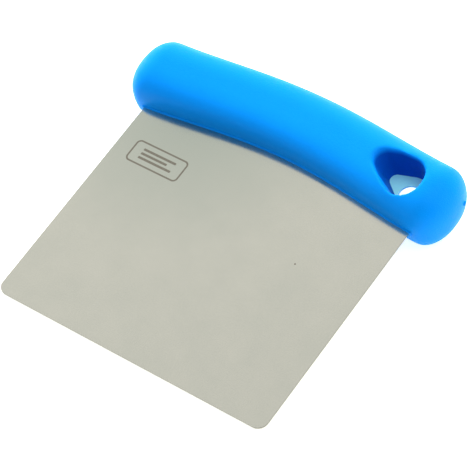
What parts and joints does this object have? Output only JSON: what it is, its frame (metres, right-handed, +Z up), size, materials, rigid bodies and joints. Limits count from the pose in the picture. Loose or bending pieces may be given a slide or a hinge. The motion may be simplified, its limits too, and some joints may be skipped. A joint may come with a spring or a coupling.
{
  "type": "bench scraper",
  "caption": "Bench scraper: flat satin steel blade with rounded lower corners and an arched blue plastic grip, recessed in a rounded triangle round the blade's hanging hole.",
  "frame": {"origin": "on the surface the scraper lies on, under the middle of its bounding box", "axes": "+X along the grip, with the hanging hole at +X; +Y from the working edge towards the grip; +Z up. The scraper lies on its back, on the lower arris of its working edge and on the grip's underside, so the blade leans up towards the grip by 6.79 degrees"},
  "size_m": [0.1418, 0.1244, 0.0261],
  "materials": {
    "blade_steel": "satin cold-rolled stainless steel",
    "grip_plastic": "bright blue, fine spark-eroded mould texture"
  },
  "bodies": {
    "root": {"blade": "blade_steel", "handle_grip": "grip_plastic"}
  },
  "joints": []
}
